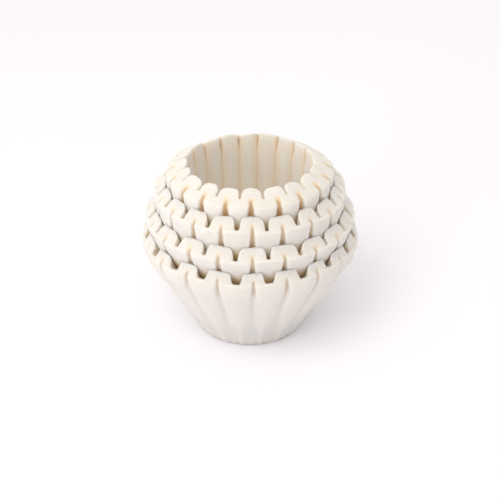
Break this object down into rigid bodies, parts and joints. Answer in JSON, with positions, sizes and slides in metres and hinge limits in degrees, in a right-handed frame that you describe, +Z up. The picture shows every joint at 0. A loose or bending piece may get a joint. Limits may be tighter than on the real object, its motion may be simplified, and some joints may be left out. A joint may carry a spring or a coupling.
{
  "type": "nested stack of basket coffee filters",
  "caption": "Stack of fluted white paper basket filters, nested in bundles like cups, with an open cup on top and a flat base.",
  "frame": {"origin": "centre of the flat underside", "axes": "+Z up along the axis of the cups, -Y towards the picture's viewer"},
  "size_m": [0.1598, 0.1598, 0.1333],
  "materials": {
    "filter_paper": "matte creped paper"
  },
  "bodies": {
    "root": {"outer_bundle": "filter_paper", "second_bundle": "filter_paper", "third_bundle": "filter_paper", "inner_bundle": "filter_paper"}
  },
  "joints": []
}
